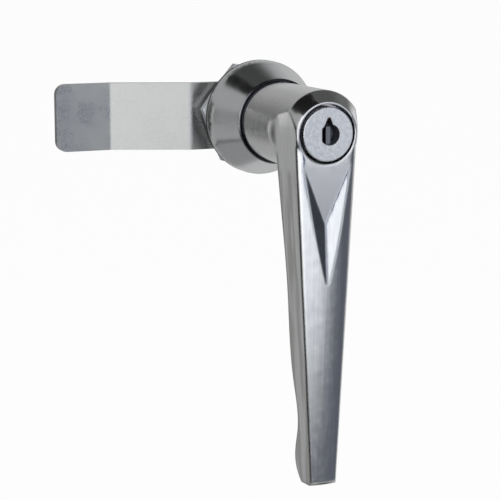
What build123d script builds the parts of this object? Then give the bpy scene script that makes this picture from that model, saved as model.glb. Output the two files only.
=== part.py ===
from build123d import *
import os
from math import atan2, cos, pi, radians, sin, sqrt, tan

# A swing handle lock for a sheet-metal door. An L-shaped die-cast handle, with a wafer-tumbler
# cylinder in its head, turns in a conical rose. A barrel on the rose passes through the panel and
# takes a hexagon nut, and the handle's square end carries a cranked cam behind the panel.
# The frame is in millimetres: the origin lies on the lock axis at the panel's outer face, +Y goes
# into the cabinet, +Z is up. The lever hangs down and the cam points to -X, the closed position.

RUN = 0.05                       # radial running clearance of a turned fit
SLIP = 0.1                       # clearance round a sliding or keyed piece
CUT = 1.0                        # how far a cutting shape runs on past the face that it opens

# Rose, gasket, nut: what stays still on the panel
GASKET_T = 1.0
RIM_R, RIM_T = 19.2, 2.0
ROSE_NOSE_R, ROSE_NOSE_Y, NOSE_BEVEL = 14.0, -17.0, 0.35
ROSE_WALL, HUB_WALL, ROSE_FLOOR_Y = 2.4, 1.9, -9.0
THREAD_R, BARREL_R = 11.0, 10.6  # the thread's outer radius, and its mean radius, where it is drawn
BARREL_FLAT, BARREL_BEVEL = 10.3, 0.5
PANEL_GAP = 2.1                  # the thickest sheet that the nut, as drawn, leaves room for
WASHER_R, WASHER_T, WASHER_TEETH = 16.0, 0.8, 18
TOOTH_DEPTH, TOOTH_GAP = 1.5, 1.4
NUT_AF, NUT_T, NUT_TURN, NUT_BEVEL = 33.0, 4.0, 52.0, 0.9
NUT_Y = PANEL_GAP + WASHER_T
BARREL_END = NUT_Y + NUT_T + 0.2
THRUST_R, THRUST_T = 12.4, 0.85
THRUST_SEAT = ROSE_NOSE_Y + THRUST_T - RUN

# Handle: stem in the rose, neck, head and lever
STEM_R = 8.5
NECK_R, NECK_Y = 13.2, ROSE_NOSE_Y - 0.2
HEAD_R, HEAD_Y, HEAD_ROUND = 13.45, -52.0, 0.6
BEVEL_R, BEVEL_Y = 10.45, -55.5
FACE_R, FACE_Y = 10.0, -55.9
FLANK_END, FLANK_LEAD = -44.0, 2.0
RUNOUT = 2.3                     # length of the flanks' run-out into the neck, for each mm sideways
EDGE_Y = -55.0                   # the lever's front edges
CROWN_R = 22.0
LEVER_HW, LEVER_TAPER = 10.57, 0.0545
LEVER_TIP, LEVER_TOP = -113.8, -1.0
LEVER_DEPTH, LEVER_DRAFT = 16.0, 0.12
BACK_ROUND, EDGE_ROUND, TIP_BEVEL = 2.0, 0.9, 1.2
LEVER_BACK = ((-40.3, 2.0), (-42.2, -24.0), (-43.9, -50.0), (-44.9, -80.0), (-46.4, -95.0),
              (-43.9, -104.5), (-47.2, -114.5))
POCKET_HW, POCKET_TOP = 5.85, -15.0
POCKET_START, POCKET_APEX, POCKET_TIP = -9.9, -29.0, -47.5
POCKET_SINK = 1.16               # how far the pocket's floor has sunk at its apex
SQUARE, SQUARE_END = 11.0, 10.8
SHOULDER_Y = BARREL_END + 0.2

# Cylinder lock
GAP_R, GAP_Y = 9.4, -52.5
SHELL_R, SHELL_Y0, SHELL_Y1 = 8.25, -54.7, -30.2
POCKET_END = -28.8
PLUG_R = 6.0
KEEPER_Y, KEEPER_R, KEEPER_WALL = -32.5, 1.25, 0.45
KEEPER_Z0, KEEPER_Z1 = -12.8, -7.2
FLANGE_R, FLANGE_Y0, FLANGE_Y1 = 7.85, -56.0, -55.0
CAP_R, CAP_Y, CAP_BEVEL = 8.5, -56.5, 0.2
SPIGOT_R, SPIGOT_END = 5.0, -28.9
CLIP_R, CLIP_GROOVE_R, CLIP_Y0, CLIP_Y1, CLIP_MOUTH = 7.2, 4.4, -30.1, -29.3, 5.0
MOUTH_X, MOUTH_Z, MOUTH_R, MOUTH_FLAT_X = 0.6, -0.2, 3.3, -2.1
MOUTH_SLOT = ((-1.6, 2.0), (-0.15, 5.2), (0.65, 5.3), (1.8, 2.4), (0.0, 0.0))
WARD_X, WARD_Z, WARD_W, WARD_H, WARD_SINK = 0.8, -0.9, 1.5, 6.2, 1.5
MOUTH_END, KEYWAY_END = -51.6, -34.0
KEYWAY_W, KEYWAY_H = 2.2, 8.4
WAFER_Y, WAFER_PITCH, WAFER_COUNT = -50.0, 3.5, 5
WAFER_W, WAFER_T, WAFER_R, WAFER_TRAVEL = 6.4, 1.0, 5.95, 0.7
WINDOW_W, WINDOW_H, WINDOW_Z = 2.6, 6.0, -0.4
LUG_X, LUG_Z, LUG_T, LUG_ROOT = 4.7, 1.2, 1.0, 0.4
SPRING_X, SPRING_R, SPRING_Z = 4.0, 0.5, -3.1

# Tail and lock bolt
TAIL_BORE_R, TAIL_BORE_END = 5.5, -6.6
TAIL_R, TAIL_SQUARE, TAIL_SEAT = 3.2, 4.1, 3.4
TAIL_DISC_R, TAIL_DISC_Y = 4.6, -13.0
THROW_R, PIN_R, PIN_Y0, PIN_Y1 = 1.8, 1.2, -11.5, -7.2
BOLT_W, BOLT_Y0, BOLT_Y1, BOLT_TOP = 4.8, -11.2, -6.8, 8.3
YOKE_HW, YOKE_HH = 3.9, 2.1
NOTCH_R = 11.3
RING_Y, RING_R, RING_GROOVE_R, RING_SIDES = -14.4, 0.8, 6.8, 8

# Cam and its fastening
STOP_R, STOP_T, TAB_R0, TAB_R1, TAB_HALF = 10.8, 1.2, 9.0, 10.2, 12.0
TAB_DEPTH = 1.6
SWING, STOP_PLAY = 90.0, 0.7
CAM_W, CAM_T, CAM_BEND_R, CAM_CORNER_R = 22.7, 2.5, 2.5, 3.5
CAM_BEND1, CAM_BEND2, CAM_END, CAM_CRANK = -21.3, -46.8, -65.6, 10.0
CAM_Y = SHOULDER_Y + STOP_T
FLAT_WASHER_R, FLAT_WASHER_T = 9.0, 1.4
SPLIT_WASHER_R, SPLIT_WASHER_T, SPLIT_GAP, SPLIT_LEAN = 5.4, 1.4, 0.9, 35.0
SCREW_R, SCREW_AF, SCREW_HEAD, SCREW_BEVEL, SCREW_DEPTH = 3.0, 10.0, 4.0, 0.6, 9.0


def slab(sketch, y0, y1):
    """A flat outline drawn in X and Z, made solid from y0 to y1."""
    return extrude(Plane.XZ.offset(-y1) * sketch, amount=y1 - y0)


def rod(radius, y0, y1, x=0.0, z=0.0):
    return slab(Pos(x, z) * Circle(radius), y0, y1)


def turned(*points):
    """A solid of revolution about the lock axis, from (radius, y) points."""
    return revolve(make_face(Polyline(*points, close=True)), axis=Axis.Y)


def ring_sector(r_in, r_out, start, sweep):
    """A flat sector of a ring; angles run in degrees from +X towards +Z."""
    outer = CenterArc((0, 0), r_out, start, sweep)
    inner = CenterArc((0, 0), r_in, start, sweep)
    return make_face([outer, inner, Line(outer @ 0, inner @ 0), Line(outer @ 1, inner @ 1)])


def hexagon(across_flats, turn):
    return Rot(0, 0, turn) * RegularPolygon(across_flats / sqrt(3), 6)


# --- Rose and panel fastening -----------------------------------------------------------------

def rose():
    seat, rim = -GASKET_T, -GASKET_T - RIM_T
    body = turned((0, seat), (RIM_R, seat), (RIM_R, rim), (ROSE_NOSE_R, ROSE_NOSE_Y),
                  (0, ROSE_NOSE_Y))
    body = chamfer(body.edges().filter_by(GeomType.CIRCLE).sort_by(Axis.Y)[0], NOSE_BEVEL)
    barrel = turned((0, seat), (BARREL_R, seat), (BARREL_R, BARREL_END - BARREL_BEVEL),
                    (BARREL_R - BARREL_BEVEL, BARREL_END), (0, BARREL_END))
    body += barrel & slab(Rectangle(2 * BARREL_FLAT, 3 * BARREL_R), seat, BARREL_END)
    hub = NOTCH_R + HUB_WALL
    slope = (RIM_R - ROSE_NOSE_R) / (rim - ROSE_NOSE_Y)
    inner_rim = RIM_R - ROSE_WALL
    body -= turned((hub, seat + CUT), (inner_rim, seat + CUT), (inner_rim, rim),
                   (inner_rim - slope * (rim - ROSE_FLOOR_Y), ROSE_FLOOR_Y), (hub, ROSE_FLOOR_Y))
    body -= rod(STEM_R + RUN, ROSE_NOSE_Y - CUT, BARREL_END + CUT)
    body -= rod(NECK_R + 3 * SLIP, ROSE_NOSE_Y - CUT, THRUST_SEAT)
    notch_depth = NOTCH_R - STEM_R + CUT
    notch = Pos(0, NOTCH_R - notch_depth / 2) * Rectangle(BOLT_W + 3 * SLIP, notch_depth)
    notch = slab(notch, BOLT_Y0 - SLIP, BOLT_Y1 + SLIP)
    body -= notch
    body -= Rot(0, -SWING, 0) * notch
    stop_sweep = SWING + 2 * (TAB_HALF + STOP_PLAY)
    stop_room = ring_sector(STEM_R - CUT, BARREL_R + CUT, -TAB_HALF - STOP_PLAY, stop_sweep)
    return body - slab(stop_room, BARREL_END - TAB_DEPTH, BARREL_END + CUT)


def panel_gasket():
    return slab(Circle(RIM_R) - Circle(THREAD_R + 1.5 * SLIP), -GASKET_T, 0)


def thrust_washer():
    return slab(Circle(THRUST_R) - Circle(STEM_R + 3 * SLIP), THRUST_SEAT - THRUST_T, THRUST_SEAT)


def lock_washer():
    ring = slab(Circle(WASHER_R) - Circle(THREAD_R + 2 * SLIP), PANEL_GAP, NUT_Y)
    tooth_gap = slab(Pos(WASHER_R, 0) * Rectangle(2 * TOOTH_DEPTH, TOOTH_GAP), PANEL_GAP, NUT_Y)
    for i in range(WASHER_TEETH):
        ring -= Rot(0, i * 360 / WASHER_TEETH, 0) * tooth_gap
    return ring


def hex_nut():
    end = NUT_Y + NUT_T
    corner, face = NUT_AF / sqrt(3) + SLIP, NUT_AF / 2
    dome = turned((0, NUT_Y), (face, NUT_Y), (corner, NUT_Y + NUT_BEVEL),
                  (corner, end - NUT_BEVEL), (face, end), (0, end))
    return (slab(hexagon(NUT_AF, NUT_TURN), NUT_Y, end) & dome) - rod(BARREL_R, NUT_Y, end)


# --- Handle -----------------------------------------------------------------------------------

def half_width(z):
    return LEVER_HW + LEVER_TAPER * z


def crown_y(x, z):
    """The crowned front of the lever at a place across and along it."""
    return EDGE_Y - sqrt(CROWN_R**2 - x**2) + sqrt(CROWN_R**2 - half_width(z)**2)


def lever_section(z):
    hw = half_width(z)
    back_hw = hw + LEVER_DRAFT * LEVER_DEPTH
    crown = ThreePointArc((-hw, EDGE_Y), (0, crown_y(0, z)), (hw, EDGE_Y))
    back_y = EDGE_Y + LEVER_DEPTH
    rest = Polyline((hw, EDGE_Y), (back_hw, back_y), (-back_hw, back_y), (-hw, EDGE_Y))
    return Plane.XY.offset(z) * make_face([crown, rest])


def lever():
    block = loft([lever_section(LEVER_TOP), lever_section(LEVER_TIP)], ruled=True)
    back = Spline(*LEVER_BACK)
    front_y = EDGE_Y - LEVER_DEPTH
    front = Polyline(back @ 1, (front_y, LEVER_BACK[-1][1]), (front_y, LEVER_BACK[0][1]), back @ 0)
    side = extrude(Plane.YZ * make_face([back, front]), amount=RIM_R, both=True)
    body = block & side
    tip = body.faces().sort_by(Axis.Z)[0]
    body = chamfer(tip.edges().sort_by(Axis.Y)[0], TIP_BEVEL)
    long_edges = body.edges().filter_by(lambda e: e.length > -LEVER_TIP / 2)
    body = fillet(long_edges.filter_by(lambda e: e.center().Y > EDGE_Y + EDGE_ROUND), BACK_ROUND)
    long_edges = body.edges().filter_by(lambda e: e.length > -LEVER_TIP / 2)
    return fillet(long_edges.filter_by(lambda e: abs(e.center().Y - EDGE_Y) < RUN), EDGE_ROUND)


def head_room(z):
    """Where the head may reach at a height: between the lever's flanks, run on up beside the face."""
    front_hw = half_width(z) - LEVER_DRAFT * FLANK_LEAD
    flank_hw = half_width(z) + LEVER_DRAFT * (FLANK_END - EDGE_Y)
    run_out = FLANK_END + RUNOUT * (RIM_R - flank_hw)
    right = [(front_hw, EDGE_Y - FLANK_LEAD), (flank_hw, FLANK_END), (RIM_R, run_out), (RIM_R, 0)]
    left = [(-x, y) for x, y in reversed(right)]
    return Plane.XY.offset(z) * make_face(Polyline(*right, *left, close=True))


def neck_and_head():
    body = turned((0, NECK_Y), (NECK_R, NECK_Y), (HEAD_R, HEAD_Y), (BEVEL_R, BEVEL_Y),
                  (FACE_R, FACE_Y), (0, FACE_Y))
    circles = body.edges().filter_by(GeomType.CIRCLE)
    body = fillet(circles.filter_by(lambda e: e.radius > (HEAD_R + NECK_R) / 2), HEAD_ROUND)
    return body & loft([head_room(-HEAD_R - CUT), head_room(HEAD_R + CUT)], ruled=True)


def face_pocket():
    """What the flat face and the arrow-shaped pocket below it take out of the crowned lever."""
    floor_y = FACE_Y + POCKET_SINK
    def floor_at(z):
        return FACE_Y + POCKET_SINK * (POCKET_START - z) / (POCKET_START - POCKET_APEX)
    apex = Vector(0, floor_y, POCKET_APEX)
    tip = Vector(0, crown_y(0, POCKET_TIP), POCKET_TIP)
    front = EDGE_Y - CROWN_R
    side_view = Polyline((front, POCKET_START), (FACE_Y, POCKET_START),
                         (floor_at(POCKET_TIP), POCKET_TIP), (front, POCKET_TIP), close=True)
    wedge = extrude(Plane.YZ * make_face(side_view), amount=RIM_R, both=True)
    for side in (-1, 1):
        corner = Vector(side * POCKET_HW, floor_at(POCKET_TOP), POCKET_TOP)
        normal = (apex - corner).cross(tip - apex)
        if normal.Y > 0:
            normal = normal * -1
        wedge = split(wedge, bisect_by=Plane(origin=apex, z_dir=normal), keep=Keep.TOP)
    return wedge + slab(Pos(0, POCKET_START + RIM_R) * Rectangle(2 * RIM_R, 2 * RIM_R), front, FACE_Y)


def keeper_hole():
    """The radial hole, up from under the neck, for the pin that keeps the cylinder in."""
    top, bottom = KEEPER_Z1, -NECK_R - CUT
    return Pos(0, KEEPER_Y, (top + bottom) / 2) * Cylinder(KEEPER_R, top - bottom)


def handle():
    body = neck_and_head() + lever() - face_pocket()
    body += rod(STEM_R, NECK_Y, SHOULDER_Y) + slab(Rectangle(SQUARE, SQUARE), SHOULDER_Y, SQUARE_END)
    body -= rod(GAP_R, FACE_Y - CUT, GAP_Y)
    body -= rod(SHELL_R + RUN, GAP_Y - CUT, POCKET_END)
    body -= rod(TAIL_BORE_R, POCKET_END - CUT, TAIL_BORE_END)
    bolt_way = Pos(0, STEM_R) * Rectangle(BOLT_W + 2 * SLIP, 2 * STEM_R)
    body -= slab(bolt_way, BOLT_Y0 - SLIP, BOLT_Y1 + SLIP)
    groove = RING_R + SLIP
    body -= slab(Circle(STEM_R + CUT) - Circle(RING_GROOVE_R), RING_Y - groove, RING_Y + groove)
    body -= rod(SCREW_R + RUN / 2, SQUARE_END - SCREW_DEPTH - CUT, SQUARE_END + CUT)
    return body - keeper_hole()


def o_ring():
    """A seal ring squeezed in its groove, so that its section has flats."""
    corner_r = RING_R / cos(pi / RING_SIDES)
    corners = [radians((i + 0.5) * 360 / RING_SIDES) for i in range(RING_SIDES)]
    middle = RING_GROOVE_R + RING_R
    return turned(*((middle + corner_r * cos(a), RING_Y + corner_r * sin(a)) for a in corners))


# --- Cylinder lock ----------------------------------------------------------------------------

def wafer_places(first):
    """The y positions of every second wafer, from the first or from the second."""
    return [WAFER_Y + i * WAFER_PITCH for i in range(first, WAFER_COUNT, 2)]


def cylinder_shell():
    body = slab(Circle(SHELL_R) - Circle(PLUG_R + RUN), SHELL_Y0, SHELL_Y1)
    reach = WAFER_R + WAFER_TRAVEL + 2 * SLIP
    cross = Rectangle(WAFER_W + 3 * SLIP, 2 * reach) + Rectangle(2 * reach, WAFER_W + 3 * SLIP)
    end = WAFER_Y + (WAFER_COUNT - 1) * WAFER_PITCH + WAFER_T
    body -= slab(cross & Circle(reach), WAFER_Y - WAFER_T, end)
    return body - keeper_hole()


def cylinder_pin():
    """A rolled spring pin, slit along its length."""
    height = KEEPER_Z1 - KEEPER_Z0
    radius = KEEPER_R - RUN
    tube = Cylinder(radius, height) - Cylinder(radius - KEEPER_WALL, height)
    slit = Pos(0, radius, 0) * Box(KEEPER_WALL, 2 * radius - KEEPER_WALL, height)
    return Pos(0, KEEPER_Y, (KEEPER_Z0 + KEEPER_Z1) / 2) * (tube - slit)


def key_mouth():
    """The rounded key opening: flat on its left, with a narrow slot rising from it."""
    room = 2 * FLANGE_R
    right_of_flat = Pos(MOUTH_FLAT_X + room / 2, 0) * Rectangle(room, room)
    round_part = (Pos(MOUTH_X, MOUTH_Z) * Circle(MOUTH_R)) & right_of_flat
    return round_part + make_face(Polyline(*MOUTH_SLOT, close=True))


def wafer_slot(y):
    """Room across the plug for one wafer and, beside it, for its spring."""
    height = WAFER_T / 2 + RUN
    slot = Rectangle(WAFER_W + 2 * SLIP, 4 * PLUG_R)
    room_x = LUG_X + SLIP
    spring_room = Pos((WAFER_W / 2 + room_x) / 2, 0) * Rectangle(room_x - WAFER_W / 2, -2 * SPRING_Z)
    return slab(slot + spring_room, y - height, y + height)


def plug():
    body = rod(PLUG_R, FLANGE_Y1, SHELL_Y1) + rod(FLANGE_R, FLANGE_Y0, FLANGE_Y1)
    body += rod(SPIGOT_R, SHELL_Y1, SPIGOT_END)
    body -= slab(Circle(SPIGOT_R + CUT) - Circle(CLIP_GROOVE_R), CLIP_Y0, CLIP_Y1)
    ward = slab(Pos(WARD_X, WARD_Z) * Rectangle(WARD_W, WARD_H), FLANGE_Y0 + WARD_SINK, MOUTH_END)
    body -= slab(key_mouth(), FLANGE_Y0, MOUTH_END) - ward
    body -= slab(Rectangle(KEYWAY_W, KEYWAY_H), MOUTH_END, KEYWAY_END)
    for y in wafer_places(0):
        body -= wafer_slot(y)
    for y in wafer_places(1):
        body -= Rot(0, 180, 0) * wafer_slot(y)
    return body - slab(Rectangle(TAIL_SQUARE, TAIL_SQUARE), SPIGOT_END - TAIL_SEAT - SLIP, SPIGOT_END)


def plug_cap():
    cup = rod(CAP_R, CAP_Y, FLANGE_Y1) - rod(FLANGE_R, FLANGE_Y0, FLANGE_Y1)
    cup = chamfer(cup.edges().filter_by(GeomType.CIRCLE).sort_by(Axis.Y)[0], CAP_BEVEL)
    return cup - slab(key_mouth(), CAP_Y, FLANGE_Y0)


def plug_clip():
    """An open retaining clip behind the shell."""
    ring = Circle(CLIP_R) - Circle(CLIP_GROOVE_R) - Pos(0, -CLIP_R) * Rectangle(CLIP_MOUTH, CLIP_R)
    return slab(ring, CLIP_Y0, CLIP_Y1)


def wafer(y):
    """One wafer: a thin plate with a key window and a side lug that its spring lifts."""
    plate = Rectangle(WAFER_W, 3 * PLUG_R) & Circle(WAFER_R)
    lug_w = LUG_X - WAFER_W / 2 + LUG_ROOT
    lug = Pos(LUG_X - lug_w / 2, LUG_Z + LUG_T / 2) * Rectangle(lug_w, LUG_T)
    window = Pos(0, WINDOW_Z) * Rectangle(WINDOW_W, WINDOW_H)
    return slab(plate + lug - window, y - WAFER_T / 2, y + WAFER_T / 2)


def wafer_spring(y):
    length = LUG_Z - RUN - SPRING_Z
    coil = Cylinder(SPRING_R, length) - Cylinder(SPRING_R / 2, length)
    return Pos(SPRING_X, y, SPRING_Z + length / 2) * coil


def upper(make):
    return Compound([make(y) for y in wafer_places(0)])


def lower(make):
    return Compound([Rot(0, 180, 0) * make(y) for y in wafer_places(1)])


# --- Tail and lock bolt -----------------------------------------------------------------------

def throw_offset():
    """How far the throw pin stands off the axis, in X and in Z, while the lock is open."""
    return THROW_R * cos(radians(SWING / 2))


def tail_driver():
    body = slab(Rectangle(TAIL_SQUARE, TAIL_SQUARE), SPIGOT_END - TAIL_SEAT, SPIGOT_END)
    body += rod(TAIL_R, SPIGOT_END, TAIL_DISC_Y) + rod(TAIL_DISC_R, TAIL_DISC_Y, PIN_Y0)
    return body + rod(PIN_R, PIN_Y0, PIN_Y1, throw_offset(), -throw_offset())


def lock_bolt():
    """A yoke round the throw pin, with a nose that reaches out through the stem."""
    z = -throw_offset()
    yoke = Pos(0, z) * Rectangle(2 * YOKE_HW, 2 * YOKE_HH)
    nose = Pos(0, (z + BOLT_TOP + CUT) / 2) * Rectangle(BOLT_W, BOLT_TOP + CUT - z)
    play = PIN_R + SLIP
    reach = THROW_R - throw_offset() + 2 * (play + RUN)
    slot = Pos((THROW_R + throw_offset()) / 2, z) * SlotOverall(reach, 2 * play)
    return slab(((yoke + nose) & Circle(BOLT_TOP)) - slot, BOLT_Y0, BOLT_Y1)


# --- Cam and its fastening --------------------------------------------------------------------

def stop_disc():
    disc = Circle(STOP_R) - Rectangle(SQUARE + SLIP, SQUARE + SLIP)
    tab = ring_sector(TAB_R0, TAB_R1, -TAB_HALF, 2 * TAB_HALF)
    return slab(disc, SHOULDER_Y, CAM_Y) + slab(tab, SHOULDER_Y - TAB_DEPTH + 2 * SLIP, SHOULDER_Y)


def cam():
    """A flat strip cranked backwards between two bends, rounded at its hub and softened at its tip."""
    lean = CAM_T * tan(atan2(CAM_CRANK, CAM_BEND1 - CAM_BEND2) / 2)
    front = [(CAM_W, 0), (CAM_BEND1, 0), (CAM_BEND2, CAM_CRANK), (CAM_END - CAM_W, CAM_CRANK)]
    back = [(x, y + CAM_T) for x, y in reversed(front)]
    back[1:3] = [(x + lean, y) for x, y in back[1:3]]
    strip = make_face(Polyline(*front, *back, close=True))
    outer_r = CAM_BEND_R + CAM_T
    for radius, corners in ((outer_r, (front[1], back[1])), (CAM_BEND_R, (front[2], back[2]))):
        strip = fillet([strip.vertices().sort_by_distance((*c, 0))[0] for c in corners], radius)
    strip = Pos(0, CAM_Y) * extrude(strip, amount=CAM_W, both=True)
    plan = Pos(CAM_END / 2, 0) * Rectangle(-CAM_END, CAM_W)
    plan = fillet(plan.vertices().sort_by(Axis.X)[:2], CAM_CORNER_R) + Circle(CAM_W / 2)
    plan -= Rectangle(SQUARE + SLIP, SQUARE + SLIP)
    return strip & slab(plan, CAM_Y - CUT, CAM_Y + CAM_CRANK + CAM_T + CUT)


def cam_washer():
    y = CAM_Y + CAM_T
    return slab(Circle(FLAT_WASHER_R) - Circle(SCREW_R + 3 * SLIP), y, y + FLAT_WASHER_T)


def spring_washer():
    """A split lock washer, closed up flat under the screw's head."""
    y = CAM_Y + CAM_T + FLAT_WASHER_T
    ring = slab(Circle(SPLIT_WASHER_R) - Circle(SCREW_R + 2 * SLIP), y, y + SPLIT_WASHER_T)
    cutter = Box(SPLIT_GAP, 3 * SPLIT_WASHER_T, SPLIT_WASHER_R)
    return ring - Pos(0, y + SPLIT_WASHER_T / 2, SPLIT_WASHER_R - CUT) * Rot(0, 0, SPLIT_LEAN) * cutter


def cam_screw():
    y = CAM_Y + CAM_T + FLAT_WASHER_T + SPLIT_WASHER_T
    top = y + SCREW_HEAD
    corner, face = SCREW_AF / sqrt(3) + RUN, SCREW_AF / 2 - 2 * SLIP
    dome = turned((0, y), (corner, y), (corner, top - SCREW_BEVEL), (face, top), (0, top))
    return (slab(hexagon(SCREW_AF, 0), y, top) & dome) + rod(SCREW_R, SQUARE_END - SCREW_DEPTH + CUT, y)


PARTS = {
    "rose": rose, "panel_gasket": panel_gasket, "thrust_washer": thrust_washer,
    "lock_washer": lock_washer, "hex_nut": hex_nut,
    "handle": handle, "o_ring": o_ring, "cylinder_shell": cylinder_shell, "cylinder_pin": cylinder_pin,
    "stop_disc": stop_disc, "cam": cam, "cam_washer": cam_washer, "spring_washer": spring_washer,
    "cam_screw": cam_screw,
    "plug": plug, "plug_cap": plug_cap, "plug_clip": plug_clip, "tail_driver": tail_driver,
    "upper_springs": lambda: upper(wafer_spring), "lower_springs": lambda: lower(wafer_spring),
    "upper_wafers": lambda: upper(wafer), "lower_wafers": lambda: lower(wafer),
    "lock_bolt": lock_bolt,
}

os.makedirs("parts", exist_ok=True)
for name, make in PARTS.items():
    export_step(make(), f"parts/{name}.step")
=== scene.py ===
from math import cos, pi, radians, sin
from typing import NamedTuple
import bpy
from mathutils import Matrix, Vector


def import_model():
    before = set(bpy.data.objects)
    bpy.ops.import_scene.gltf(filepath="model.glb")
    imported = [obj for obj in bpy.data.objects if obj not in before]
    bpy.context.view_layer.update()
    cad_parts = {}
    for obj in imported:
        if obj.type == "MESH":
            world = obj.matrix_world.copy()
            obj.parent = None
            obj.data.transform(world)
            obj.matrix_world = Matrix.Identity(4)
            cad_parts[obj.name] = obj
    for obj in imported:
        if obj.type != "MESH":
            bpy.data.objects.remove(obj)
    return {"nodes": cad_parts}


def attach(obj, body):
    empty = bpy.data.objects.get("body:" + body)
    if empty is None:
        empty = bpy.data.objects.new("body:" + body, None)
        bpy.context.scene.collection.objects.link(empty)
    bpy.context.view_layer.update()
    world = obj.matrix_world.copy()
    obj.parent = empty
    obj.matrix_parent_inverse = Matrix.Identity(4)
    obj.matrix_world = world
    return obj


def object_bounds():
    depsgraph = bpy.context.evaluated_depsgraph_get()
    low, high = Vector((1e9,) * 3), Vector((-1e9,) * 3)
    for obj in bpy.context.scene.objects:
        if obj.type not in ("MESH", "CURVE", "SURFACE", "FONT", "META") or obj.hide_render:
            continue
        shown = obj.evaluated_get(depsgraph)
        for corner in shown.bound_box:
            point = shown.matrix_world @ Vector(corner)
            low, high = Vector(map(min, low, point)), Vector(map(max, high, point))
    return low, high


# A swing handle lock: chrome-plated lever and rose, zinc-plated cam and nut, in a pale studio.
# The lock turns about the y axis, with its front towards -y and the door's outer face at y 0, and
# the lever hangs down from the axis. The finishes measure places on the pieces in millimetres, and
# everything else is in metres.

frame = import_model()
cad_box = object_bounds()
nodes = frame["nodes"]


# --- Node trees -------------------------------------------------------------------------------

MM_PER_M = 1000.0
NOISE_LOW, NOISE_HIGH = 0.3, 0.7       # nearly all of a noise lies between these


class Tree:
    """A node tree that is built with one short call for each node."""

    def __init__(self, tree):
        self.tree = tree
        self.tree.nodes.clear()

    def add(self, kind, inputs=(), output=0, **settings):
        """Adds a node and gives one of its outputs. Inputs that are sockets are linked, others set."""
        node = self.tree.nodes.new(kind)
        for name, value in settings.items():
            setattr(node, name, value)
        for socket, value in dict(inputs).items():
            if isinstance(value, bpy.types.NodeSocket):
                self.tree.links.new(value, node.inputs[socket])
            else:
                node.inputs[socket].default_value = value
        return node.outputs[output] if len(node.outputs) else None

    def math(self, operation, a, b=0.0, c=0.0):
        return self.add("ShaderNodeMath", {0: a, 1: b, 2: c}, operation=operation)

    def product(self, first, *others):
        for other in others:
            first = self.math("MULTIPLY", first, other)
        return first

    def remap(self, value, low, high, to_low=0.0, to_high=1.0):
        """Runs smoothly from to_low, where the value is low, to to_high, where it is high."""
        inputs = {"Value": value, "From Min": low, "From Max": high, "To Min": to_low, "To Max": to_high}
        return self.add("ShaderNodeMapRange", inputs, interpolation_type="SMOOTHSTEP")

    def fade(self, value, low, high):
        """1 up to low, and 0 from high on."""
        return self.remap(value, low, high, 1.0, 0.0)

    def spread(self, noise, least=0.0, most=1.0):
        """Spreads a noise over the whole of a range."""
        return self.remap(noise, NOISE_LOW, NOISE_HIGH, least, most)

    def place(self):
        """Coordinates on the piece, in millimetres."""
        coords = self.add("ShaderNodeTexCoord", output="Object")
        return self.add("ShaderNodeVectorMath", {0: coords, 3: MM_PER_M}, operation="SCALE")

    def split(self, vector):
        """The x, y and z of a vector."""
        return self.add("ShaderNodeSeparateXYZ", {0: vector}).node.outputs

    def stretched(self, vector, scale):
        return self.add("ShaderNodeVectorMath", {0: vector, 1: scale}, operation="MULTIPLY")

    def noise(self, vector, scale=1.0, detail=2, roughness=0.5):
        inputs = {"Vector": vector, "Scale": scale, "Detail": detail, "Roughness": roughness}
        return self.add("ShaderNodeTexNoise", inputs)

    def rounded(self, radius, samples):
        """Normals as if the edges were rounded."""
        return self.add("ShaderNodeBevel", {"Radius": radius}, samples=samples)

    def bump(self, height, distance, strength, normal=None):
        inputs = {"Height": height, "Distance": distance, "Strength": strength}
        if normal:
            inputs["Normal"] = normal
        return self.add("ShaderNodeBump", inputs)

    def openness(self, distance, closed, open_):
        """1 in the open, towards 0 deep in a gap or a corner."""
        sky = self.add("ShaderNodeAmbientOcclusion", {"Distance": distance}, output=1, samples=8)
        return self.remap(sky, closed, open_)

    def mix(self, factor, first, second):
        """The first colour where the factor is 0, the second where it is 1."""
        ends = {6: first, 7: second}
        colours = {i: c if isinstance(c, bpy.types.NodeSocket) else (*c, 1) for i, c in ends.items()}
        return self.add("ShaderNodeMix", {0: factor, **colours}, output=2, data_type="RGBA")

    def around_axis(self, place):
        """Radius from the lock axis and the place along it, alone and as coordinates for turned grain."""
        x, y, z = self.split(place)
        radius = self.math("SQRT", self.math("ADD", self.product(x, x), self.product(z, z)))
        return radius, y, self.add("ShaderNodeCombineXYZ", {0: radius, 1: y, 2: 0.0})

    def finish(self, colour, roughness, normal, metallic=1.0):
        inputs = {"Base Color": colour, "Roughness": roughness, "Metallic": metallic, "Normal": normal}
        shader = self.add("ShaderNodeBsdfPrincipled", inputs)
        self.add("ShaderNodeOutputMaterial", {"Surface": shader})


def material(name):
    made = bpy.data.materials.new(name)
    made.use_nodes = True
    return made, Tree(made.node_tree)


# --- The handle's chrome ----------------------------------------------------------------------

# Places on the handle, in mm. A pair holds the two ends of a soft change.
FRONT_Y, FLANK_Y = -50.0, -47.0        # the front's edges lie before the first, the flanks behind the second
PIT_APEX, PIT_SPREAD = -29.0, 5.85 / 14.0    # the pocket floor's lowest point, and half its width per mm up
PIT_TOP = -10.2, -9.4
PIT_SIDE = 0.0, 0.3                    # in from its sides
LEVER_HALF, LEVER_TAPER = 10.4, 0.053  # half the lever's width at the axis, and what it loses per mm down
LEVER_EDGE = 1.5, 3.0                  # in from the lever's flanks
RUBBED_EDGE = 0.2, 0.6
RUBBED_TOP = -14.0, -10.0
KEY_RING_R = 10.5, 11.5                # radii where the crisp edges round the key face end
KEY_RING_FOOT = -8.0, -3.0
NECK_FOOT = -16.0, -13.0

# Rounding of the handle's edges, in metres, and how it differs in places.
EDGE_ROUNDING = 0.0012
MORE_ON_LEVER, MORE_ON_NECK, LESS_ON_KEY_RING = 0.0009, 0.0017, 0.0008

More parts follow.
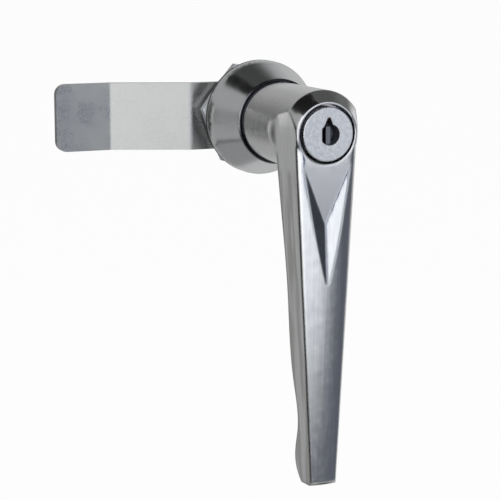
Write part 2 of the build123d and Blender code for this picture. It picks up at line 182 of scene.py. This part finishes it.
CHROME_DARK, CHROME_LIGHT = (0.73, 0.735, 0.745), (0.80, 0.805, 0.81)
# The pocket floor's lighter colour is painted light, and the gap colour is painted shade in gaps and
# corners.
RUBBED, SATIN_PAINTED_LIGHT, CHROME_PAINTED_SHADE = (0.55, 0.55, 0.54), (0.95, 0.95, 0.97), (0.20, 0.20, 0.23)


def pocket_floor(t, x, z, in_front):
    """1 on the flat floor of the arrow-shaped pocket, which narrows down to its apex, and 0 elsewhere."""
    half = t.math("MULTIPLY", t.math("SUBTRACT", z, PIT_APEX), PIT_SPREAD)
    inside = t.remap(t.math("SUBTRACT", half, t.math("ABSOLUTE", x)), *PIT_SIDE)
    return t.product(inside, t.fade(z, *PIT_TOP), in_front)


def edge_rounding(t, radius, y, z, in_front, to_flank):
    """How round the edges are: crisp in the upper half of the key ring, soft on the lever and the neck."""
    key_ring = t.product(t.fade(radius, *KEY_RING_R), t.remap(z, *KEY_RING_FOOT), in_front)
    neck = t.product(t.remap(y, FRONT_Y, FLANK_Y), t.remap(z, *NECK_FOOT))
    lever = t.product(t.fade(to_flank, *LEVER_EDGE), t.fade(y, FRONT_Y, FLANK_Y))
    size = t.math("MULTIPLY_ADD", neck, MORE_ON_NECK, EDGE_ROUNDING)
    size = t.math("MULTIPLY_ADD", lever, MORE_ON_LEVER, size)
    return t.math("MULTIPLY_ADD", key_ring, -LESS_ON_KEY_RING, size)


def polished_chrome():
    """Chrome on a casting with a mirror polish: soft waves, haze, and faint polishing lines down the lever.

    The pocket floor has a softer gloss, its colour lightened as painted light; the flanks are rubbed in
    streaks, and gaps and corners darken as painted shade."""
    made, t = material("polished_chrome")
    place = t.place()
    x, y, z = t.split(place)
    radius = t.around_axis(place)[0]
    in_front = t.math("LESS_THAN", y, FRONT_Y)
    half_width = t.math("MULTIPLY_ADD", z, LEVER_TAPER, LEVER_HALF)
    to_flank = t.math("SUBTRACT", half_width, t.math("ABSOLUTE", x))
    # Mask of the pocket floor: a softer gloss there, and a lighter colour as painted light.
    satin_and_painted_light = pocket_floor(t, x, z, in_front)

    haze = t.noise(place, scale=0.35, detail=4)
    waves = t.noise(place, scale=0.05, detail=1)
    lines = t.noise(t.stretched(place, (1.6, 1.6, 0.03)), detail=4, roughness=0.6)
    streaks = t.noise(t.stretched(place, (0.4, 0.4, 0.02)), detail=2)
    rubbed = t.product(t.fade(to_flank, *RUBBED_EDGE), t.fade(z, *RUBBED_TOP), t.remap(streaks, 0.4, 0.6))

    drawn = t.math("MULTIPLY_ADD", satin_and_painted_light, -0.4, 0.5)
    normal = t.rounded(edge_rounding(t, radius, y, z, in_front, to_flank), samples=8)
    normal = t.bump(waves, distance=0.0002, strength=0.15, normal=normal)
    normal = t.bump(streaks, distance=0.00012, strength=drawn, normal=normal)
    normal = t.bump(lines, distance=0.00003, strength=0.2, normal=normal)

    colour = t.mix(t.spread(lines), CHROME_DARK, CHROME_LIGHT)
    colour = t.mix(rubbed, colour, RUBBED)
    # Painted light: the pocket floor's colour is lightened.
    colour = t.mix(satin_and_painted_light, colour, SATIN_PAINTED_LIGHT)
    # Painted shade: darker towards the gap colour deep in gaps and corners.
    colour = t.mix(t.openness(distance=0.0025, closed=0.12, open_=0.5), CHROME_PAINTED_SHADE, colour)
    roughness = t.math("MULTIPLY_ADD", satin_and_painted_light, 0.05, t.spread(haze, 0.13, 0.18))
    t.finish(colour, roughness, normal)
    return made


# --- The other finishes -----------------------------------------------------------------------

NOSE_R, NOSE_Y = (13.75, 14.35), (-16.0, -15.0)    # mm, radii and places where the painted dark ring round the rose's nose ends
TURNED_ROUNDING = 0.0003                           # metres, on the edges of turned pieces


def turned_chrome():
    """Chrome on a turned cone: rings of polish round the axis, and painted shade as a dark ring round the
    neck and in corners.
    """
    made, t = material("turned_chrome")
    place = t.place()
    radius, along, turned = t.around_axis(place)
    rings = t.noise(t.stretched(turned, (6.0, 6.0, 1.0)), detail=4, roughness=0.6)
    haze = t.noise(place, scale=0.3, detail=4)
    unshaded = t.mix(haze, (0.70, 0.71, 0.72), (0.77, 0.78, 0.79))
    # Painted shade: a dark ring at the nose next to the neck, and darkening deep in corners.
    past_nose = t.math("MAXIMUM", t.remap(radius, *NOSE_R), t.remap(along, *NOSE_Y))
    free_of_painted_shade = t.product(t.openness(distance=0.001, closed=0.6, open_=0.95), past_nose)
    normal = t.bump(rings, distance=0.00002, strength=0.35, normal=t.rounded(TURNED_ROUNDING, samples=6))
    t.finish(t.mix(free_of_painted_shade, (0.06, 0.06, 0.07), unshaded), t.spread(haze, 0.15, 0.20), normal)
    return made


def ground_cap():
    """The key face: chrome over a finely ground disc."""
    made, t = material("ground_cap")
    place = t.place()
    turned = t.around_axis(place)[2]
    rings = t.noise(t.stretched(turned, (14.0, 14.0, 1.0)), detail=4, roughness=0.7)
    haze = t.noise(place, scale=0.9, detail=5)
    colour = t.mix(haze, (0.82, 0.84, 0.87), (0.89, 0.90, 0.92))
    normal = t.bump(rings, distance=0.00002, strength=0.4, normal=t.rounded(TURNED_ROUNDING, samples=6))
    t.finish(colour, t.spread(haze, 0.24, 0.34), normal)
    return made


def zinc_plate(name, along, dark, light, rough, metallic):
    """Clear zinc plate on rolled steel: cloudy patches and rolling lines."""
    made, t = material(name)
    place = t.place()
    clouds = t.noise(place, scale=0.12, detail=4, roughness=0.6)
    spangle = t.noise(place, scale=0.9, detail=3)
    lines = t.noise(t.stretched(place, along), detail=5, roughness=0.65)
    mottled = t.math("ADD", clouds, t.math("MULTIPLY", spangle, 0.4))
    colour = t.mix(t.remap(clouds, 0.35, 0.65), dark, light)
    normal = t.bump(lines, distance=0.00001, strength=0.5)
    t.finish(colour, t.remap(mottled, 0.5, 0.9, *rough), normal, metallic)
    return made


def cast_zinc():
    """Grey die-cast zinc, with painted shade deep in its gaps."""
    made, t = material("cast_zinc")
    grain = t.noise(t.place(), scale=2.5, detail=5, roughness=0.6)
    unshaded = t.mix(grain, (0.24, 0.25, 0.28), (0.36, 0.37, 0.40))
    # Painted shade: darker deep in gaps and corners.
    colour = t.mix(t.openness(distance=0.003, closed=0.1, open_=0.6), (0.06, 0.065, 0.075), unshaded)
    t.finish(colour, t.spread(grain, 0.38, 0.5), t.bump(grain, distance=0.00005, strength=0.4))
    return made


def black_rubber():
    """Black rubber with a pale bloom."""
    made, t = material("black_rubber")
    place = t.place()
    bloom = t.noise(place, scale=0.5, detail=5, roughness=0.6)
    grain = t.noise(place, scale=7.0, detail=2)
    colour = t.mix(bloom, (0.03, 0.03, 0.031), (0.05, 0.05, 0.052))
    normal = t.bump(grain, distance=0.00004, strength=0.5)
    t.finish(colour, t.spread(bloom, 0.62, 0.8), normal, metallic=0.0)
    return made


def grained(name, along, detail, dark, light, rough, depth, strength, metallic=1.0):
    """A finish whose tone, gloss and relief all follow one grain."""
    made, t = material(name)
    grain = t.noise(t.stretched(t.place(), along), detail=detail)
    t.finish(t.mix(grain, dark, light), t.spread(grain, *rough), t.bump(grain, depth, strength), metallic)
    return made


def dress_nodes():
    """Gives every CAD node its finish."""
    chrome, cone, cap = polished_chrome(), turned_chrome(), ground_cap()
    plate = zinc_plate("zinc_plate", along=(1.5, 1.5, 1.5), dark=(0.60, 0.62, 0.65),
                       light=(0.70, 0.72, 0.75), rough=(0.40, 0.50), metallic=0.75)
    strip = zinc_plate("zinc_strip", along=(0.06, 3.0, 3.0), dark=(0.49, 0.49, 0.475),
                       light=(0.54, 0.54, 0.52), rough=(0.26, 0.34), metallic=0.94)
    cast, rubber = cast_zinc(), black_rubber()
    steel = grained("spring_steel", along=(1.6, 1.6, 1.6), detail=4, dark=(0.30, 0.31, 0.33),
                    light=(0.46, 0.47, 0.49), rough=(0.25, 0.38), depth=0.00003, strength=0.3)
    brass = grained("stamped_brass", along=(6.0, 0.6, 0.6), detail=4, dark=(0.60, 0.44, 0.20),
                    light=(0.74, 0.58, 0.30), rough=(0.26, 0.4), depth=0.00003, strength=0.4)
    nylon = grained("natural_nylon", along=(0.4, 0.4, 0.4), detail=3, dark=(0.74, 0.72, 0.64),
                    light=(0.80, 0.79, 0.72), rough=(0.42, 0.52), depth=0.00004, strength=0.3,
                    metallic=0.0)
    finishes = {
        "handle": chrome, "rose": cone, "plug_cap": cap,
        "cam": strip, "hex_nut": plate, "lock_washer": plate, "stop_disc": plate, "cam_washer": plate,
        "cam_screw": plate, "tail_driver": plate, "lock_bolt": plate,
        "plug": cast, "cylinder_shell": cast,
        "spring_washer": steel, "plug_clip": steel, "cylinder_pin": steel,
        "upper_springs": steel, "lower_springs": steel,
        "upper_wafers": brass, "lower_wafers": brass,
        "panel_gasket": rubber, "o_ring": rubber, "thrust_washer": nylon,
    }
    for name, finish in finishes.items():
        slots = nodes[name].data.materials
        slots.clear()
        slots.append(finish)


# --- Smooth normals ---------------------------------------------------------------------------

JOIN_WITHIN = 1e-6                         # corners that are nearer are one
SHARP, FLAT = radians(24), radians(8)      # the second in the pocket, whose walls are flat
POCKET_HALF, POCKET_BACK = 0.0065, -0.050
POCKET_TOP, POCKET_FOOT = -0.0105, -0.0485


def smoothing_tree():
    """Joins the triangles of a node and shades them smooth, except across its edges."""
    tree = bpy.data.node_groups.new("smooth_by_angle", "GeometryNodeTree")
    t = Tree(tree)
    tree.interface.new_socket("Geometry", in_out="INPUT", socket_type="NodeSocketGeometry")
    tree.interface.new_socket("Geometry", in_out="OUTPUT", socket_type="NodeSocketGeometry")
    source = t.add("NodeGroupInput")
    joined = t.add("GeometryNodeMergeByDistance", {"Geometry": source, "Distance": JOIN_WITHIN})
    faces = t.add("GeometryNodeSetShadeSmooth", {"Geometry": joined, "Shade Smooth": True}, domain="FACE")
    x, y, z = t.split(t.add("GeometryNodeInputPosition"))
    in_pocket = t.product(
        t.math("LESS_THAN", t.math("ABSOLUTE", x), POCKET_HALF),
        t.math("LESS_THAN", y, POCKET_BACK),
        t.math("LESS_THAN", z, POCKET_TOP),
        t.math("GREATER_THAN", z, POCKET_FOOT))
    limit = t.math("MULTIPLY_ADD", in_pocket, FLAT - SHARP, SHARP)
    angle = t.add("GeometryNodeInputMeshEdgeAngle")
    gentle = t.add("FunctionNodeCompare", {0: angle, 1: limit}, operation="LESS_EQUAL")
    edges = t.add("GeometryNodeSetShadeSmooth", {"Geometry": faces, "Shade Smooth": gentle}, domain="EDGE")
    t.add("NodeGroupOutput", {0: edges})
    return tree


def smooth_nodes():
    tree = smoothing_tree()
    for node in nodes.values():
        node.modifiers.new("smooth", "NODES").node_group = tree
        node.modifiers.new("weights", "WEIGHTED_NORMAL").keep_sharp = True


# --- Thread -----------------------------------------------------------------------------------

THREAD = {"Mean Radius": 0.0106, "Ridge": 0.0004, "Pitch": 0.0015, "Turns": 1.65, "Start": 0.0002,
          "Half Flat": 0.01027}
THREAD_STEPS, RIDGE_SIDES = 72, 4


def thread_tree():
    """A ridge that winds round the barrel in the gap for the door sheet, planed off at the two flats."""
    tree = bpy.data.node_groups.new("barrel_thread", "GeometryNodeTree")
    t = Tree(tree)
    for name in THREAD:
        tree.interface.new_socket(name, in_out="INPUT", socket_type="NodeSocketFloat")
    tree.interface.new_socket("Finish", in_out="INPUT", socket_type="NodeSocketMaterial")
    tree.interface.new_socket("Geometry", in_out="OUTPUT", socket_type="NodeSocketGeometry")
    given = t.add("NodeGroupInput").node.outputs
    height = t.math("MULTIPLY", given["Pitch"], given["Turns"])
    winding = t.add("GeometryNodeCurveSpiral", {
        "Resolution": THREAD_STEPS, "Rotations": given["Turns"], "Start Radius": given["Mean Radius"],
        "End Radius": given["Mean Radius"], "Height": height})
    ridge = t.add("GeometryNodeCurvePrimitiveCircle", {"Resolution": RIDGE_SIDES, "Radius": given["Ridge"]})
    solid = t.add("GeometryNodeCurveToMesh", {"Curve": winding, "Profile Curve": ridge, "Fill Caps": True})
    start = t.add("ShaderNodeCombineXYZ", {"Y": given["Start"]})
    turned = t.add("GeometryNodeTransform", {
        "Geometry": solid, "Translation": start, "Rotation": (-pi / 2, 0.0, 0.0)})
    x, y, z = t.split(t.add("GeometryNodeInputPosition"))
    far_flat = t.math("MULTIPLY", given["Half Flat"], -1.0)
    planed = t.add("ShaderNodeClamp", {"Value": x, "Min": far_flat, "Max": given["Half Flat"]})
    place = t.add("ShaderNodeCombineXYZ", {0: planed, 1: y, 2: z})
    flats = t.add("GeometryNodeSetPosition", {"Geometry": turned, "Position": place})
    faceted = t.add("GeometryNodeSetShadeSmooth", {"Geometry": flats, "Shade Smooth": False})
    real = t.add("GeometryNodeRealizeInstances", {"Geometry": faceted})
    finished = t.add("GeometryNodeSetMaterial", {"Geometry": real, "Material": given["Finish"]})
    t.add("NodeGroupOutput", {0: finished})
    return tree


def grown(name, tree, values):
    """The plain mesh that a tree makes from these values, as an object at the origin."""
    made = bpy.data.objects.new(name, bpy.data.meshes.new(name))
    bpy.context.collection.objects.link(made)
    modifier = made.modifiers.new("shape", "NODES")
    modifier.node_group = tree
    for socket in tree.interface.items_tree:
        if socket.in_out == "INPUT":
            modifier[socket.identifier] = values[socket.name]
    ready = made.evaluated_get(bpy.context.evaluated_depsgraph_get())
    mesh = bpy.data.meshes.new_from_object(ready)
    made.modifiers.remove(modifier)
    made.data = mesh
    mesh.name = name
    return made


def thread():
    finish = nodes["rose"].data.materials[0]
    ridge = grown("barrel_thread", thread_tree(), {**THREAD, "Finish": finish})
    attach(ridge, "rose_body")


# --- Studio -----------------------------------------------------------------------------------

WHITE, ROOM_GREY = (1.0, 1.0, 1.0), (0.40, 0.40, 0.40)
NEUTRAL, COOL, BLUISH = (1.0, 1.0, 1.0), (0.955, 0.98, 1.03), (0.86, 0.93, 1.14)


class Panel(NamedTuple):
    """A soft box, a wall or a dark flag, placed by its directions from the lock, in degrees.

    Azimuth 0 is straight in front of the lock, +90 to its right; elevation is above the horizon."""
    label: str
    azimuths: tuple
    elevations: tuple
    level: float
    azimuth_soft: tuple          # how soft its two ends are
    elevation_soft: tuple
    tint: tuple = NEUTRAL
    lean: float = 0.0            # how far its edges climb for each degree to the right


PANELS = (                       # each lies over those before it
    Panel("table, right", (20, 178), (-95, -28), 0.56, (20, 10), (1, 6)),
    Panel("table, left", (-180, -100), (-95, -37), 0.30, (8, 8), (1, 2)),
    Panel("shade under the lever", (95, 165), (-78, -52), 0.06, (8, 8), (4, 3)),
    Panel("dark corner, right", (60, 132), (20, 60), 0.16, (12, 8), (3, 10)),
    Panel("white wall, right", (92, 128), (-42, 14), 0.85, (8, 10), (5, 5)),
    Panel("far part of that wall", (128, 166), (-28, 32), 0.54, (10, 12), (8, 10)),
    Panel("dark doorway behind", (-178, -152), (-17, 20), 0.20, (6, 5), (6, 8)),
    Panel("side of the doorway", (-150, -126), (-3, 14), 0.12, (4, 5), (4, 4)),
    Panel("edge of the table", (-150, -100), (-36, -32), 0.13, (5, 5), (1.5, 1.5)),
    Panel("dark front, below", (-50, 88), (-45, -16), 0.11, (12, 8), (10, 6), BLUISH),
    Panel("dark front, right", (20, 88), (-40, 42), 0.14, (14, 8), (12, 10), BLUISH),
    Panel("darkest part in front", (40, 76), (-7, 42), 0.05, (10, 8), (4, 10), BLUISH),
    Panel("flag on the left", (-115, -57), (-36, 12), 0.025, (3, 4), (4, 4)),
    Panel("key soft box", (-58, 29), (-16.2, 40), 1.20, (5, 31), (4, 5), COOL, 0.05),
    Panel("hot middle of the box", (-52, -27), (-14, 24), 1.75, (5, 3.5), (4, 6)),
    Panel("dark ceiling, left", (-160, 30), (42, 100), 0.012, (10, 20), (2, 5)),
    Panel("dark ceiling, right", (30, 165), (46, 100), 0.10, (20, 10), (10, 5)),
    Panel("dark ceiling behind", (155, 205), (44, 100), 0.06, (12, 10), (6, 5)),
)


class Room:
    """The room as the metal sees it: panels laid one over the other on grey."""

    def __init__(self, tree):
        self.t = tree
        x, y, z = tree.split(tree.add("ShaderNodeTexCoord", output="Generated"))
        self.azimuth = tree.math("DEGREES", tree.math("ARCTAN2", x, tree.math("MULTIPLY", y, -1.0)))
        self.elevation = tree.math("DEGREES", tree.math("ARCSINE", z))
        self.light = tree.add("ShaderNodeCombineColor", dict(enumerate(ROOM_GREY)))

    def window(self, value, low, high, softness):
        """1 between low and high, with an end of its own softness at each."""
        low_soft, high_soft = softness
        rise = self.t.remap(value, low - low_soft, low + low_soft)
        return self.t.product(rise, self.t.fade(value, high - high_soft, high + high_soft))

    def lay(self, panel):
        middle = sum(panel.azimuths) / 2
        half = (panel.azimuths[1] - panel.azimuths[0]) / 2
        turned = self.t.math("WRAP", self.t.math("SUBTRACT", self.azimuth, middle), 180.0, -180.0)
        height = self.t.math("SUBTRACT", self.elevation, self.t.math("MULTIPLY", turned, panel.lean))
        mask = self.t.product(self.window(turned, -half, half, panel.azimuth_soft),
                              self.window(height, *panel.elevations, panel.elevation_soft))
        self.light = self.t.mix(mask, self.light, tuple(panel.level * c for c in panel.tint))
        self.light.node.label = panel.label


def world():
    """The room for the metal, and plain white behind the lock."""
    made = bpy.data.worlds.new("studio")
    bpy.context.scene.world = made
    made.use_nodes = True
    t = Tree(made.node_tree)
    room = Room(t)
    for panel in PANELS:
        room.lay(panel)
    seen = t.add("ShaderNodeLightPath", output="Is Camera Ray")
    background = t.add("ShaderNodeBackground", {"Color": t.mix(seen, room.light, WHITE), "Strength": 1.0})
    t.add("ShaderNodeOutputWorld", {"Surface": background})


def sheet(name, corners, finish):
    """A flat sheet of the studio, which isn't part of the lock."""
    mesh = bpy.data.meshes.new(name)
    mesh.from_pydata(corners, [], [(0, 1, 2, 3)])
    mesh.materials.append(finish)
    made = bpy.data.objects.new(name, mesh)
    bpy.context.collection.objects.link(made)
    return made


FLOOR_BELOW, FLOOR_HALF = 0.045, 8.0       # its drop below the lever's tip, and how far it reaches
FLOOR_GREY, FLOOR_WHITENED = (0.9, 0.9, 0.9, 1), 0.97


def floor():
    """A pale floor, nearly white to the camera, that the metal doesn't show."""
    made, t = material("pale_floor")
    matt = t.add("ShaderNodeBsdfDiffuse", {"Color": FLOOR_GREY})
    white = t.add("ShaderNodeEmission", {"Color": (*WHITE, 1), "Strength": 1.0})
    seen = t.add("ShaderNodeLightPath", output="Is Camera Ray")
    whitened = t.math("MULTIPLY", seen, FLOOR_WHITENED)
    shader = t.add("ShaderNodeMixShader", {0: whitened, 1: matt, 2: white})
    t.add("ShaderNodeOutputMaterial", {"Surface": shader})
    height = cad_box[0].z - FLOOR_BELOW
    corners = [(x * FLOOR_HALF, y * FLOOR_HALF, height) for x, y in ((-1, -1), (1, -1), (1, 1), (-1, 1))]
    sheet("floor", corners, made).visible_glossy = False


FLAG_LEFT, FLAG_RIGHT, FLAG_Y = -0.025, 0.076, -0.35
FLAG_LOW, FLAG_HIGH = -0.078, 0.008
FLAG_BLUE = (0.03, 0.07, 0.17, 1)


def flag():
    """A dark blue card in front, seen by metal alone: it shades the cam's two flats but not the key face."""
    made, t = material("blue_card")
    glow = t.add("ShaderNodeEmission", {"Color": FLAG_BLUE, "Strength": 1.0})
    t.add("ShaderNodeOutputMaterial", {"Surface": glow})
    corners = [(FLAG_LEFT, FLAG_Y, FLAG_LOW), (FLAG_RIGHT, FLAG_Y, FLAG_LOW),
               (FLAG_RIGHT, FLAG_Y, FLAG_HIGH), (FLAG_LEFT, FLAG_Y, FLAG_HIGH)]
    card = sheet("flag", corners, made)
    card.visible_camera = card.visible_diffuse = card.visible_shadow = False


AIM = Vector((-0.00687, -0.00892, -0.04403))       # the point that lamp and camera face
CAMERA_AZIMUTH, CAMERA_ELEVATION, CAMERA_DISTANCE = -22.168, 10.397, 0.6
CAMERA_LENS, CAMERA_SENSOR = 128.06, 36.0
LAMP_AZIMUTH, LAMP_ELEVATION, LAMP_DISTANCE = -30, 40, 1.2
LAMP_SIZE, LAMP_POWER = 0.8, 6.0


def aimed(name, data, azimuth, elevation, distance):
    """A lamp or camera that stands at these degrees round the lock and faces it."""
    a, e = radians(azimuth), radians(elevation)
    back = Vector((sin(a) * cos(e), -cos(a) * cos(e), sin(e)))
    made = bpy.data.objects.new(name, data)
    made.location = AIM + distance * back
    made.rotation_euler = back.to_track_quat("Z", "Y").to_euler()
    bpy.context.collection.objects.link(made)
    return made


def lamp():
    data = bpy.data.lights.new("key_lamp", "AREA")
    data.shape = "DISK"
    data.size = LAMP_SIZE
    data.energy = LAMP_POWER
    aimed("key_lamp", data, LAMP_AZIMUTH, LAMP_ELEVATION, LAMP_DISTANCE).visible_glossy = False


def camera():
    data = bpy.data.cameras.new("camera")
    data.lens = CAMERA_LENS
    data.sensor_width = CAMERA_SENSOR
    bpy.context.scene.camera = aimed("camera", data, CAMERA_AZIMUTH, CAMERA_ELEVATION, CAMERA_DISTANCE)


dress_nodes()
smooth_nodes()
thread()
world()
floor()
flag()
lamp()
camera()
bpy.context.scene.view_settings.view_transform = "Standard"
